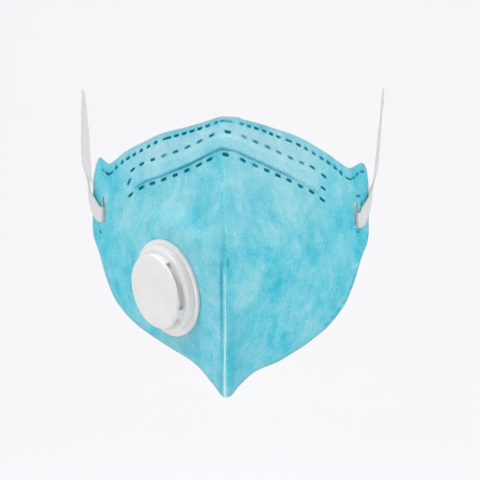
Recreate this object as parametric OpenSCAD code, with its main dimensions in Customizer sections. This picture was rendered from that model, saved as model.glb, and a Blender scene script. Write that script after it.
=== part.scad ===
// Fold-flat disposable dust mask with an exhalation valve and two ear loops.
// Millimetres. X runs across the face, with the wearer's left at +X. Y runs from the front of
// the mask to the face, and Z is up. The origin is the middle of the face opening.

/* [Mask outline] */
// Half the width across the two side tabs
half_w = 67.5; // [60:0.1:74]
// Depth from the front of the seam to the face opening
mask_depth = 88; // [80:1:100]
// Height of the nose edge above the origin
nose_h = 54.5; // [48:0.5:62]
// Drop of the chin edge below the origin
chin_drop = 69.3; // [60:0.5:76]
// Height of the foremost point of the seam
tip_h = -9.5; // [-20:0.5:4]
// Height of the tip of a side tab
tab_tip_h = 38.7; // [36:0.1:44]
// Depth of the notch between a tab and the nose edge
notch_depth = 2.9; // [1:0.1:5]
// Height of the lower corner of a side tab
tab_low_h = 4.5; // [0:0.5:8]

/* [Layers] */
// Thickness of the blue outer cover
cover_t = 0.5; // [0.3:0.05:0.8]
// Thickness of the soft support layer
support_t = 0.9; // [0.5:0.05:1.4]
// Thickness of the filter layer
filter_t = 0.4; // [0.2:0.05:0.8]
// Thickness of the white lining
lining_t = 0.4; // [0.2:0.05:0.8]

/* [Centre seam] */
// Thickness of the welded fin
fin_t = 1.6; // [1:0.1:2.4]
// How far the welded fin stands forward
fin_h = 3.2; // [1.5:0.1:5]

/* [Nose] */
// Length of the nose wire across the face
wire_l = 88; // [70:1:96]
// Width of the nose wire
wire_w = 4.8; // [3:0.1:6]
// Thickness of the nose wire
wire_t = 0.8; // [0.5:0.1:1.2]
// Distance from the nose edge to the upper side of the wire
wire_drop = 9.2; // [8:0.1:12]
// Length of the foam seal across the face
foam_l = 80; // [60:1:92]
// Width of the foam seal
foam_w = 10; // [6:0.5:14]
// Thickness of the foam seal
foam_t = 3.5; // [2:0.1:5]

/* [Valve] */
// Distance of the valve's centre from the seam
valve_x = 26.2; // [25:0.1:28]
// Height of the valve's centre
valve_h = -21.4; // [-24:0.1:-18]
// Diameter of the valve's flange
flange_d = 44.8; // [43:0.1:46]
// Thickness of the flange
flange_t = 1.4; // [1:0.1:2]
// Outer diameter of the neck that passes through the layers
neck_d = 31.2; // [29:0.1:32]
// Diameter of the lip that the flap seals on
lip_d = 26; // [23:0.1:26.4]
// Diameter of the disc on top of the cover
disc_d = 34.4; // [33:0.1:36]
// Height of the cover above the fabric
valve_top = 8.8; // [7.8:0.1:10]
// Height of the vents in the cover
vent_h = 2.5; // [1.4:0.1:2.8]
// Number of vents
vent_count = 3; // [2:1:5]
// Share of the round below the flap's hinge that is open at the vents
vent_share = 0.85; // [0.5:0.05:0.9]
// Thickness of the flap
flap_t = 0.5; // [0.3:0.05:0.8]

/* [Ear loops] */
// Width of the elastic
strap_w = 7.5; // [5:0.1:9]
// Thickness of the elastic
strap_t = 0.9; // [0.5:0.05:1.2]
// Distance of the strap's slot from the edge of the tab, across the face
slot_in = 5.9; // [5:0.1:7]
// Length of the slot
slot_l = 12; // [9:0.5:14]
// Width of the slot, across the face
slot_w = 1.5; // [1.2:0.1:2]
// Height of the middle of the slot
slot_h = 13.3; // [12:0.1:16]

/* [Hidden] */
$fn = 96;

sky_blue = "#74cfe2";
felt_white = "#f2f2f0";
valve_white = "#ececea";
elastic_white = "#efedeb";
wire_grey = "#c9ccd0";

clear = 0.3;         // gap between soft solids and what moves beside them
snug = 0.1;          // gap between moulded pieces that seat on each other
total_t = cover_t + support_t + filter_t + lining_t;
half_gap = fin_t / 2 + clear;

// A smooth curve through points, read at x
function slope(p, i) =
    let(a = max(i - 1, 0), b = min(i + 1, len(p) - 1)) (p[b][1] - p[a][1]) / (p[b][0] - p[a][0]);
function span(p, x, i = 0) = (i >= len(p) - 2 || x < p[i + 1][0]) ? i : span(p, x, i + 1);
function curve(p, x) =
    let(
        i = span(p, x),
        w = p[i + 1][0] - p[i][0],
        t = min(max((x - p[i][0]) / w, 0), 1),
        t2 = t * t,
        t3 = t2 * t
    )
    (2 * t3 - 3 * t2 + 1) * p[i][1] + (t3 - 2 * t2 + t) * w * slope(p, i)
    + (3 * t2 - 2 * t3) * p[i + 1][1] + (t3 - t2) * w * slope(p, i + 1);
function smooth(a, b, x) = let(t = min(max((x - a) / (b - a), 0), 1)) t * t * (3 - 2 * t);

// Upper and lower edge of one half: distance from the seam, then height
notch_x = half_w - 8.9;
tab_tip_x = half_w - 3.4;
top_edge = [
    [0, nose_h], [5, nose_h - 0.4], [10, nose_h - 1.5], [20.5, nose_h - 3.6],
    [32.3, nose_h - 6.3], [47.7, nose_h - 12.8],
    [notch_x, tab_tip_h - notch_depth], [notch_x + 3, tab_tip_h - 0.5 * notch_depth], [tab_tip_x, tab_tip_h],
    [half_w - 1.4, tab_tip_h - 3.4], [half_w, tab_tip_h - 9.5]
];
low_edge = [
    [0, -chin_drop], [5.8, 4.6 - chin_drop], [13.2, 11 - chin_drop], [25.8, 17.4 - chin_drop],
    [42.5, 27.2 - chin_drop], [half_w - 13.1, tab_low_h - 35.1], [half_w - 7.9, tab_low_h - 23.8],
    [half_w - 4.1, tab_low_h - 12.2], [half_w - 0.7, tab_low_h - 4.2], [half_w, tab_low_h]
];
function top_z(x) = curve(top_edge, x);
function low_z(x) = curve(low_edge, x);

// Profile of the seam, and the spread of a half behind it
tip_round = 12;
nose_lean = 0.27;
chin_lean = 0.4;
spread_rise = 0.95;
function seam_y(z) =
    let(d = z - tip_h) (d > 0 ? nose_lean : chin_lean) * (sqrt(d * d + tip_round * tip_round) - tip_round);
spread_bend = (mask_depth - spread_rise * half_w) / (half_w * half_w);
function spread_y(x) = spread_rise * x + spread_bend * x * x;
// The lower edge turns in under the jaw
cup_reach = 20;
cup_depth = 5;
function cup_y(x, z) =
    let(d = min(max(1 - (z - low_z(x)) / cup_reach, 0), 1))
    cup_depth * d * d * smooth(2, 22, x) * (1 - smooth(half_w - 16, half_w - 6, x));
profile_fade = 0.55;
function free_y(x, z) =
    seam_y(z) * (1 - profile_fade * pow(x / half_w, 2)) + spread_y(x) + cup_y(x, z) - mask_depth;

// The valve clamps the layers flat around itself
probe = 0.01;
valve_y = free_y(valve_x, valve_h);
valve_dx = (free_y(valve_x + probe, valve_h) - free_y(valve_x - probe, valve_h)) / (2 * probe);
valve_nod = 0.1;
valve_dz = (free_y(valve_x, valve_h + probe) - free_y(valve_x, valve_h - probe)) / (2 * probe) - valve_nod;
flat_r = flange_d / 2 + 6;
flat_fade = 11;
function flat_y(x, z) = valve_y + valve_dx * (x - valve_x) + valve_dz * (z - valve_h);
function from_valve(x, z) = norm([(x - valve_x) * sqrt(1 + valve_dx * valve_dx), z - valve_h]);
function face_y(x, z, valve) =
    let(w = valve ? 1 - smooth(flat_r, flat_r + flat_fade, from_valve(x, z)) : 0)
    (1 - w) * free_y(x, z) + w * flat_y(x, z);
// Length along Y that holds one millimetre of sheet
function stretch(x, z, valve) =
    let(
        dx = (face_y(x + probe, z, valve) - face_y(x - probe, z, valve)) / (2 * probe),
        dz = (face_y(x, z + probe, valve) - face_y(x, z - probe, valve)) / (2 * probe)
    )
    sqrt(1 + dx * dx + dz * dz);

// Lines that run along the nose edge drop further towards the tabs
nose_sink = 0.0095;
function nose_z(x, drop) = top_z(x) - drop * (1 + nose_sink * x);

// Grid of one half: columns close up towards the tab, rows follow the nose edge near the top
columns = 20;
low_rows = 8;
ramp = 2.4;
nose_rows = [wire_drop + wire_w + ramp, wire_drop + wire_w + clear, wire_drop - clear, wire_drop - ramp, 0];
band = nose_rows[0] + 3;
function column_x(i) = half_gap + (half_w - half_gap) * (1 - pow(1 - i / columns, 1.6));
function band_z(x) = max(nose_z(x, band), low_z(x) + 0.1 * (top_z(x) - low_z(x)));
function row_z(x, j) =
    j < low_rows
        ? low_z(x) + (band_z(x) - low_z(x)) * j / (low_rows - 1)
        : band_z(x) + (top_z(x) - band_z(x)) * (1 - nose_rows[j - low_rows] / band);
rows = low_rows + len(nose_rows);
// The outer cover stands proud over the nose wire
function wire_lift(x, j) =
    (j == low_rows + 1 || j == low_rows + 2) && x < wire_l / 2 + 4 ? wire_t + 2 * snug : 0;

// One sheet of one half, between two depths under the outer face
module sheet(t0, t1, valve, lifted) {
    function at(i, j, t) =
        let(x = column_x(i), z = row_z(x, j))
        [x, face_y(x, z, valve) + (t - (lifted ? wire_lift(x, j) : 0)) * stretch(x, z, valve), z];
    function id(side, i, j) = (side * (columns + 1) + i) * rows + j;
    points = [for (t = [t0, t1], i = [0:columns], j = [0:rows - 1]) at(i, j, t)];
    front = [for (i = [0:columns - 1], j = [0:rows - 2]) each [
        [id(0, i, j), id(0, i, j + 1), id(0, i + 1, j)],
        [id(0, i + 1, j), id(0, i, j + 1), id(0, i + 1, j + 1)]]];
    back = [for (i = [0:columns - 1], j = [0:rows - 2]) each [
        [id(1, i, j), id(1, i + 1, j), id(1, i, j + 1)],
        [id(1, i + 1, j), id(1, i + 1, j + 1), id(1, i, j + 1)]]];
    ends = [for (j = [0:rows - 2]) each [
        [id(0, 0, j), id(1, 0, j), id(0, 0, j + 1)],
        [id(1, 0, j), id(1, 0, j + 1), id(0, 0, j + 1)],
        [id(0, columns, j), id(0, columns, j + 1), id(1, columns, j)],
        [id(1, columns, j), id(0, columns, j + 1), id(1, columns, j + 1)]]];
    edges = [for (i = [0:columns - 1]) each [
        [id(0, i, 0), id(0, i + 1, 0), id(1, i, 0)],
        [id(1, i, 0), id(0, i + 1, 0), id(1, i + 1, 0)],
        [id(0, i, rows - 1), id(1, i, rows - 1), id(0, i + 1, rows - 1)],
        [id(1, i, rows - 1), id(1, i + 1, rows - 1), id(0, i + 1, rows - 1)]]];
    polyhedron(points, concat(front, back, ends, edges));
}

slot_x = half_w - slot_in;
slot_y = face_y(slot_x, slot_h, false);
slot_reach = 20;
module strap_slot() {
    translate([slot_x - slot_w / 2, slot_y - slot_reach / 2, slot_h - slot_l / 2])
        cube([slot_w, slot_reach, slot_l]);
}

module left_sheet(t0, t1, lifted = false) {
    difference() {
        sheet(t0, t1, false, lifted);
        strap_slot();
    }
}

module right_sheet(t0, t1, lifted = false) {
    difference() {
        mirror([1, 0, 0]) difference() {
            sheet(t0, t1, true, lifted);
            strap_slot();
        }
        at_valve() translate([0, 0, -slot_reach / 2]) cylinder(d = neck_d + 2 * clear, h = slot_reach);
    }
}

module right_outer_cover() { color(sky_blue) right_sheet(0, cover_t, true); }
module right_support_layer() { color(felt_white) right_sheet(cover_t, cover_t + support_t); }
module right_filter_layer() { color(felt_white) right_sheet(cover_t + support_t, total_t - lining_t); }
module right_lining() { color(felt_white) right_sheet(total_t - lining_t, total_t); }
module left_outer_cover() { color(sky_blue) left_sheet(0, cover_t, true); }
module left_support_layer() { color(felt_white) left_sheet(cover_t, cover_t + support_t); }
module left_filter_layer() { color(felt_white) left_sheet(cover_t + support_t, total_t - lining_t); }
module left_lining() { color(felt_white) left_sheet(total_t - lining_t, total_t); }

// The halves meet in a crease above the tip and in a welded fin below it
seam_steps = 24;
fin_run = 18;
function seam_z(k) = -chin_drop + (nose_h + chin_drop) * k / seam_steps;
function seam_stretch(z) = stretch(half_gap, z, false);
function crease_in(z) = (cover_t + snug) * seam_stretch(z) + spread_rise * fin_t / 2;
module centre_seam() {
    front = [for (k = [0:seam_steps])
        let(z = seam_z(k), w = smooth(tip_h, tip_h - fin_run, z))
        [seam_y(z) - mask_depth - fin_h * w + crease_in(z) * (1 - w), z]];
    back = [for (k = [seam_steps:-1:0])
        let(z = seam_z(k)) [seam_y(z) - mask_depth + total_t * seam_stretch(z), z]];
    color(sky_blue)
        translate([-fin_t / 2, 0, 0]) rotate([90, 0, 90])
            linear_extrude(fin_t) polygon(concat(front, back));
}

// A bar that follows the nose edge from side to side
bar_steps = 14;
module nose_bar(length, drop, width, depth_0, depth_1) {
    function at(k, d, t) =
        let(x = length * (k / bar_steps - 0.5), a = abs(x), z = nose_z(a, d))
        [x, face_y(a, z, false) + t * stretch(max(a, half_gap), z, false), z];
    points = [for (k = [0:bar_steps]) each [
        at(k, drop + width, depth_0), at(k, drop + width, depth_1),
        at(k, drop, depth_1), at(k, drop, depth_0)]];
    walls = [for (k = [0:bar_steps - 1], s = [0:3])
        let(a = 4 * k + s, b = 4 * k + (s + 1) % 4) each [[a, a + 4, b], [b, a + 4, b + 4]]];
    last = 4 * bar_steps;
    caps = [[0, 1, 2], [0, 2, 3], [last, last + 2, last + 1], [last, last + 3, last + 2]];
    polyhedron(points, concat(walls, caps));
}

module nose_wire() {
    color(wire_grey) nose_bar(wire_l, wire_drop, wire_w, cover_t - wire_t - snug, cover_t - snug);
}

foam_drop = 2.5;
module nose_foam() {
    color(felt_white) nose_bar(foam_l, foam_drop, foam_w, total_t + clear, total_t + clear + foam_t);
}

// Valve, drawn along its own axis from the outer face of the fabric, +X down and +Y to the seam
valve_normal = [-valve_dx, -1, valve_dz] / norm([valve_dx, 1, valve_dz]);
valve_tilt = acos(valve_normal[2]);
valve_turn = atan2(valve_normal[1], valve_normal[0]);
module at_valve() {
    translate([-valve_x, valve_y, valve_h]) rotate([0, valve_tilt, valve_turn]) children();
}
module ring(r0, r1, z0, z1) {
    rotate_extrude() translate([r0, z0]) square([r1 - r0, z1 - z0]);
}

neck_r = neck_d / 2;
neck_t = 1.3;
lip_r = lip_d / 2;
lip_t = 1.1;
lip_top = flange_t + 1.1;
ring_t = 1.5;
neck_end = -(total_t + snug + ring_t + snug);
disc_r = disc_d / 2;
disc_t = 1.6;
vent_top = valve_top - disc_t;
vent_low = vent_top - vent_h;
collar_r = neck_r + 1.3;
collar_t = 2;
collar_top = min(lip_top + 1.6, vent_low - 0.5);
spoke_w = 1.6;
spoke_t = 1.2;
spokes = 3;
hub_r = 2.4;
hinge_x = -lip_r + 1.6;
flap_r = lip_r + 0.9;
flap_z = lip_top + 0.05;
clamp_w = 9;
clamp_gap = 0.25;
clamp_top = flap_z + flap_t + 0.5;
module valve_seat() {
    color(valve_white) at_valve() {
        difference() {
            union() {
                ring(neck_r - neck_t, flange_d / 2, snug, flange_t);
                ring(neck_r - neck_t, neck_r, neck_end, flange_t);
                ring(lip_r - lip_t, neck_r - neck_t + 0.2, 0, flange_t);
                ring(lip_r - lip_t, lip_r, 0, lip_top);
                ring(collar_r - collar_t, collar_r, flange_t - 0.2, collar_top);
                cylinder(r = hub_r, h = spoke_t);
                for (k = [0:spokes - 1]) rotate(360 * k / spokes)
                    translate([0, -spoke_w / 2, 0]) cube([lip_r - lip_t / 2, spoke_w, spoke_t]);
                translate([-neck_r, -clamp_w / 2, flange_t - 0.2])
                    cube([neck_r + hinge_x - clamp_gap, clamp_w, clamp_top - flange_t + 0.2]);
            }
            translate([hinge_x - clamp_gap - 1.4, -clamp_w, flap_z - snug])
                cube([2, 2 * clamp_w, flap_t + 2 * snug]);
        }
    }
}

module valve_flap() {
    color(felt_white) at_valve() translate([0, 0, flap_z]) {
        intersection() {
            cylinder(r = flap_r, h = flap_t);
            translate([hinge_x, -flap_r, 0]) cube([2 * flap_r, 2 * flap_r, flap_t]);
        }
    }
}

shoulder_r = disc_r + 2.4;
skirt_r = shoulder_r + 0.5;
wall_in = collar_r + 2 * snug;
closed_top = 80;
vent_angle = vent_share * (360 - closed_top) / vent_count;
post_angle = (1 - vent_share) * (360 - closed_top) / (vent_count - 1);
vent_wall = 1.4;
post_root = 0.3;
post_r = disc_r - 0.2;
throat_r = max(post_r - 2.2, flap_r + 0.7);
disc_round = 1.2;
module vent_post(from, angle) {
    rotate(from) rotate_extrude(angle = angle) translate([post_r - vent_wall, collar_top + 3 * snug])
        square([vent_wall, vent_top - collar_top - 3 * snug + post_root]);
}
module valve_cover() {
    color(valve_white) at_valve() {
        // skirt and shoulder
        rotate_extrude() polygon([
            [wall_in, flange_t + snug], [skirt_r, flange_t + snug], [skirt_r, flange_t + 0.9],
            [shoulder_r, vent_low - 0.7], [shoulder_r - 0.9, vent_low], [throat_r, vent_low],
            [throat_r, collar_top + 2 * snug], [wall_in, collar_top + snug]]);
        // closed part above the hinge, and posts between the vents
        vent_post(180 - closed_top / 2, closed_top);
        for (k = [1:vent_count - 1])
            vent_post(180 + closed_top / 2 + k * vent_angle + (k - 1) * post_angle, post_angle);
        // disc
        rotate_extrude() polygon(concat(
            [[0, vent_top], [disc_r - 0.3, vent_top], [disc_r, vent_top + 0.3]],
            [for (a = [0:15:90])
                [disc_r - disc_round, valve_top - disc_round] + disc_round * [cos(a), sin(a)]],
            [[0, valve_top]]));
    }
}

module valve_retaining_ring() {
    color(valve_white) at_valve()
        ring(neck_r + snug, flange_d / 2 - 2, -(total_t + snug + ring_t), -(total_t + snug));
}

// Strap in the slot, over the front of the tab and past its edge
strap_off = strap_t / 2 + clear;
turn_r = strap_off + 0.1;
turn_steps = 5;
edge_over = 0.6;
slot_back = slot_y + total_t * stretch(slot_x, slot_h, false) + 2;
strip_rise =
    (face_y(half_w, slot_h, false) - face_y(slot_x + turn_r, slot_h, false)) / (slot_in - turn_r);
strip_dir = [1, strip_rise] / norm([1, strip_rise]);
turn_mid = [
    slot_x + turn_r,
    face_y(slot_x + turn_r, slot_h, false) + (turn_r - strap_off) * norm([1, strip_rise])
];
turn_end = atan2(strip_dir[0], -strip_dir[1]);
strip_start = turn_mid - turn_r * [cos(turn_end), sin(turn_end)];
wrap_end = strip_start + strip_dir * (half_w + edge_over - strip_start[0]) / strip_dir[0];
loop_gap = 0.5;
hinge_xy = wrap_end + strip_dir * loop_gap / 2;
wrap_path = concat(
    [[slot_x, slot_back]],
    [for (k = [0:turn_steps]) let(a = turn_end * k / turn_steps) turn_mid - turn_r * [cos(a), sin(a)]],
    [wrap_end]
);
module ribbon(path) {
    last = len(path) - 1;
    function along(k) =
        k == 0 ? [0, -1] : k == last ? strip_dir
        : let(a = path[k] - path[k - 1], b = path[k + 1] - path[k], c = a / norm(a) + b / norm(b))
            c / norm(c);
    function aside(k, d) = path[k] + d * [along(k)[1], -along(k)[0]];
    polygon(concat(
        [for (k = [0:last]) aside(k, strap_t / 2)],
        [for (k = [last:-1:0]) aside(k, -strap_t / 2)]));
}
module strap_wrap() {
    translate([0, 0, slot_h - strap_w / 2]) linear_extrude(strap_w) ribbon(wrap_path);
}
module left_strap_wrap() { color(elastic_white) strap_wrap(); }
module right_strap_wrap() { color(elastic_white) mirror([1, 0, 0]) strap_wrap(); }

// Free part of an ear loop: from the tab's edge up and back round the ear, and down to the slot.
// Each point: place from the hinge line at the middle of the slot, then the way the width points
loop_route = [
    [[strip_dir[0], strip_dir[1], 0] * loop_gap / 2, [0, 0, 1]],
    [[strip_dir[0], strip_dir[1], 0] * 1.6, [0, 0, 1]],
    [[1.2, 5.6, 4], [-0.1, -0.25, 1]],
    [[1.8, 8.8, 10.4], [-0.2, -0.6, 0.8]],
    [[2.7, 14, 20], [-0.3, -0.8, 0.55]],
    [[4.7, 21.3, 32], [-0.38, -0.85, 0.5]],
    [[6.9, 30.3, 45.2], [-0.25, -0.85, 0.55]],
    [[8.7, 38.8, 56.1], [-0.15, -0.75, 0.7]],
    [[9.9, 45.3, 61.9], [-0.1, -0.5, 0.9]],
    [[10.8, 52.3, 65.2], [-0.08, 0, 1]],
    [[11.4, 59.3, 64.3], [-0.08, 0.6, 0.8]],
    [[11.4, 63.8, 60.5], [-0.08, 1, 0.3]],
    [[10.9, 64.3, 54.1], [-0.08, 1, -0.2]],
    [[9.4, 59.3, 44.7], [-0.1, 1, -0.5]],
    [[7.5, 49.8, 33.6], [-0.12, 1, -0.6]],
    [[4, 37.3, 21.6], [-0.15, 0.9, -0.75]],
    [[-0.4, 23.3, 10.9], [-0.15, 0.6, -1]],
    [[-4.3, 10.6, 3.6], [-0.05, 0.25, -1]],
    [[-6.2, 2.2, 0.4], [0, 0, -1]],
    [[slot_x - hinge_xy[0], slot_back + loop_gap - hinge_xy[1], 0], [0, 0, -1]]
];
function unit(v) = v / norm(v);
module ear_loop() {
    last = len(loop_route) - 1;
    base = [hinge_xy[0], hinge_xy[1], slot_h];
    function along(k) = unit(loop_route[min(k + 1, last)][0] - loop_route[max(k - 1, 0)][0]);
    function across(k) =
        let(t = along(k), w = loop_route[k][1]) unit(w - (w * t) * t);
    points = [for (k = [0:last])
        let(
            c = base + loop_route[k][0],
            w = across(k) * strap_w / 2,
            n = cross(along(k), across(k)) * strap_t / 2
        )
        each [c - w - n, c + w - n, c + w + n, c - w + n]];
    walls = [for (k = [0:last - 1], s = [0:3])
        let(a = 4 * k + s, b = 4 * k + (s + 1) % 4) each [[a, a + 4, b], [b, a + 4, b + 4]]];
    end = 4 * last;
    caps = [[0, 1, 2], [0, 2, 3], [end, end + 2, end + 1], [end, end + 3, end + 2]];
    polyhedron(points, concat(walls, caps));
}
module left_ear_loop() { color(elastic_white) ear_loop(); }
module right_ear_loop() { color(elastic_white) mirror([1, 0, 0]) ear_loop(); }

centre_seam();
nose_wire();
nose_foam();
right_outer_cover();
right_support_layer();
right_filter_layer();
right_lining();
left_outer_cover();
left_support_layer();
left_filter_layer();
left_lining();
valve_seat();
valve_flap();
valve_cover();
valve_retaining_ring();
right_strap_wrap();
left_strap_wrap();
right_ear_loop();
left_ear_loop();
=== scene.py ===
import bmesh
import bpy
import math
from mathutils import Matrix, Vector, noise


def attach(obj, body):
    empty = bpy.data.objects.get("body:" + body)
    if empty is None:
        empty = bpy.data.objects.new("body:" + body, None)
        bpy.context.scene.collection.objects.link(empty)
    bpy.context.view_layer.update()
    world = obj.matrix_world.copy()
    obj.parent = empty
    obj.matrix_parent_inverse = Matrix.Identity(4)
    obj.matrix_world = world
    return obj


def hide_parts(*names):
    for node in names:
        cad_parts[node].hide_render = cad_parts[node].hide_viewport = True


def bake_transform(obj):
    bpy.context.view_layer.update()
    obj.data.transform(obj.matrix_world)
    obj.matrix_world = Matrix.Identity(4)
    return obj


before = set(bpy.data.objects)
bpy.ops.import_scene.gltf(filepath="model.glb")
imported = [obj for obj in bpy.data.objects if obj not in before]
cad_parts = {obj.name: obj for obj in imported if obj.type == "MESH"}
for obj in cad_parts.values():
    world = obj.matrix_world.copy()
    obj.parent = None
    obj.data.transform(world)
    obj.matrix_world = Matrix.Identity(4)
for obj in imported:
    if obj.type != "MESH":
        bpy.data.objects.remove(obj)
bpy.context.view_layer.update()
MM = 0.001

# Camera: level with the middle of the mask and a little to the wearer's left of the seam
CAMERA_AT = (0.0195, -0.748, 0.0)
CAMERA_YAW = math.radians(1.136)
LENS_MM = 115
SENSOR_MM = 36


def make_camera():
    data = bpy.data.cameras.new("camera")
    data.lens, data.sensor_width = LENS_MM, SENSOR_MM
    data.dof.use_dof = False
    camera = bpy.data.objects.new("camera", data)
    camera.location = CAMERA_AT
    camera.rotation_euler = (math.radians(90), 0, CAMERA_YAW)
    bpy.context.scene.collection.objects.link(camera)
    bpy.context.scene.camera = camera


make_camera()


# Outline and form of one half of the mask, in millimetres, as the solids have them
HALF_W = 67.5
DEPTH = 88.0
NOSE_H = 54.5
CHIN = 69.3
TIP_H = -9.5
TAB_TIP_H = 38.7
TAB_LOW_H = 4.5
NOSE_EDGE = [
    (0, NOSE_H), (5, NOSE_H - 0.4), (10, NOSE_H - 1.5), (20.5, NOSE_H - 3.6), (32.3, NOSE_H - 6.3),
]
# The notch and the tab's tip are cut sharp on the wearer's right and come out rounder on the left
TOP_EDGE = {
    -1: NOSE_EDGE + [
        (47.7, NOSE_H - 12.8), (HALF_W - 9.5, TAB_TIP_H - 3.0), (HALF_W - 6.3, TAB_TIP_H - 1.3),
        (HALF_W - 3.7, TAB_TIP_H + 0.4), (HALF_W - 1.5, TAB_TIP_H - 3.2), (HALF_W, TAB_TIP_H - 9.5)],
    1: NOSE_EDGE + [
        (47.7, NOSE_H - 13.1), (HALF_W - 16.5, TAB_TIP_H + 0.6), (HALF_W - 13.3, TAB_TIP_H - 1.4),
        (HALF_W - 11.6, TAB_TIP_H - 2.3), (HALF_W - 10, TAB_TIP_H - 2.75),
        (HALF_W - 8.1, TAB_TIP_H - 2.0), (HALF_W - 6, TAB_TIP_H - 0.75),
        (HALF_W - 4.3, TAB_TIP_H + 0.1), (HALF_W - 3.2, TAB_TIP_H + 0.3),
        (HALF_W - 2.1, TAB_TIP_H - 0.5), (HALF_W - 1, TAB_TIP_H - 2.5),
        (HALF_W - 0.4, TAB_TIP_H - 5.3), (HALF_W, TAB_TIP_H - 9.7)],
}
LOW_EDGE = [
    (0, -CHIN - 0.3), (2.2, 0.1 - CHIN), (3.9, 2.2 - CHIN), (6.2, 4.9 - CHIN), (13.2, 11.4 - CHIN),
    (25.8, 17.6 - CHIN), (42.5, 27.4 - CHIN),
    (HALF_W - 13.1, TAB_LOW_H - 35.1), (HALF_W - 7.9, TAB_LOW_H - 23.8),
    (HALF_W - 4.1, TAB_LOW_H - 12.2), (HALF_W - 0.7, TAB_LOW_H - 4.2), (HALF_W, TAB_LOW_H),
]
VALVE_X, VALVE_H = 26.2, -21.4
VALVE_NOD = 0.1
FLANGE_R = 22.4
HOLE_R = 16.8
# The layers lie flat to this far past the valve's flange, and are free again from this far
CLAMP_FLAT, CLAMP_FREE = 1.5, 20
SLOT_X, SLOT_H, SLOT_W, SLOT_L = HALF_W - 6.7, 13.3, 1.5, 12.0
COVER_T, SUPPORT_T, FILTER_T, LINING_T = 0.5, 0.9, 0.4, 0.4
TOTAL_T = COVER_T + SUPPORT_T + FILTER_T + LINING_T
# From the seam to the tab a half runs back at this slope, bent so that it ends at its full depth
SPREAD_RISE = 0.95
SPREAD_BEND = (DEPTH - SPREAD_RISE * HALF_W) / HALF_W ** 2
# The seam runs back above and below its foremost point, which is rounded, and less so towards the tabs
SEAM_BACK_UP, SEAM_BACK_DOWN = 0.27, 0.4
TIP_ROUND = 12
SEAM_FADE = 0.55
# The lowest part of the cheek cups in under the jaw
CUP_IN, CUP_HIGH = 5, 20


def curve(points, x):
    """A smooth line through points, read at x."""
    def slope(i):
        (x0, y0), (x1, y1) = points[max(i - 1, 0)], points[min(i + 1, len(points) - 1)]
        return (y1 - y0) / (x1 - x0)
    i = 0
    while i < len(points) - 2 and x >= points[i + 1][0]:
        i += 1
    (xa, ya), (xb, yb) = points[i], points[i + 1]
    w = xb - xa
    t = min(max((x - xa) / w, 0), 1)
    return ((2 * t ** 3 - 3 * t ** 2 + 1) * ya + (t ** 3 - 2 * t ** 2 + t) * w * slope(i)
            + (3 * t ** 2 - 2 * t ** 3) * yb + (t ** 3 - t ** 2) * w * slope(i + 1))


def smooth(a, b, x):
    """0 at a and 1 at b, with an even start and end. a and b are places where a change starts and ends."""
    t = min(max((x - a) / (b - a), 0), 1)
    return t * t * (3 - 2 * t)


def top_z(x, side):
    return curve(TOP_EDGE[side], x)


def low_z(x):
    return curve(LOW_EDGE, x)


def seam_y(z):
    d = z - TIP_H
    back = SEAM_BACK_UP if d > 0 else SEAM_BACK_DOWN
    return back * (math.sqrt(d * d + TIP_ROUND ** 2) - TIP_ROUND)


def free_y(x, z):
    """Depth of the outer face of a half that nothing clamps."""
    under = min(max(1 - (z - low_z(x)) / CUP_HIGH, 0), 1)
    cup = CUP_IN * under ** 2 * smooth(2, 22, x) * (1 - smooth(HALF_W - 16, HALF_W - 6, x))
    spread = SPREAD_RISE * x + SPREAD_BEND * x * x
    return seam_y(z) * (1 - SEAM_FADE * (x / HALF_W) ** 2) + spread + cup - DEPTH


# Where the valve sits on that face, and the slopes of the plane that it clamps flat
PROBE = 0.01
VALVE_Y = free_y(VALVE_X, VALVE_H)
VALVE_DX = (free_y(VALVE_X + PROBE, VALVE_H) - free_y(VALVE_X - PROBE, VALVE_H)) / (2 * PROBE)
FACE_DZ = (free_y(VALVE_X, VALVE_H + PROBE) - free_y(VALVE_X, VALVE_H - PROBE)) / (2 * PROBE)
VALVE_DZ = FACE_DZ - VALVE_NOD
VALVE_SLANT = VALVE_DX / math.sqrt(1 + VALVE_DX ** 2)


def from_valve(x, z):
    """How far a point of the face is from the valve's middle."""
    return math.hypot((x - VALVE_X) * math.sqrt(1 + VALVE_DX ** 2), z - VALVE_H)


def face_y(x, z, valve):
    """Depth of the outer face; the valve clamps its half flat around itself."""
    y = free_y(x, z)
    if valve:
        w = 1 - smooth(FLANGE_R + CLAMP_FLAT, FLANGE_R + CLAMP_FREE, from_valve(x, z))
        flat = VALVE_Y + VALVE_DX * (x - VALVE_X) + VALVE_DZ * (z - VALVE_H)
        y = (1 - w) * y + w * flat
    return y


def stretch(x, z, valve):
    """Length along Y that holds one millimetre of sheet."""
    dx = (face_y(x + PROBE, z, valve) - face_y(x - PROBE, z, valve)) / (2 * PROBE)
    dz = (face_y(x, z + PROBE, valve) - face_y(x, z - PROBE, valve)) / (2 * PROBE)
    return math.sqrt(1 + dx * dx + dz * dz)


# Lines that run along the nose edge: drop at the seam, and growth of the drop towards the tab
EDGE_WELD = (2.2, 0.033)
UPPER_WELD = (6.6, 0.102)
WIRE_TOP = (9.2, 0.11)
WIRE_LOW = (14.2, 0.137)
LOWER_WELD = (17.0, 0.117)
POCKET_END = 44.8
# The left pocket hangs a little lower with every millimetre out, and its outer part bows up, the upper
# line most. The right one sags beside the nose and bows up less
LEFT_SAG, LEFT_BOW, LEFT_BOW_FADE = 0.06, 2.5, 0.09
RIGHT_SAG, RIGHT_SAG_FADE, RIGHT_BOW = 1.4, 0.7, 1.2
# The edge row runs lower past the nose and dips into the notch; on the left it rises again on the tab
LEFT_DIP, LEFT_NOTCH_DIP, LEFT_TAB_RISE = 0.5, 0.85, 0.5
RIGHT_DIP, RIGHT_NOTCH_DIP = 0.3, 0.8


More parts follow.
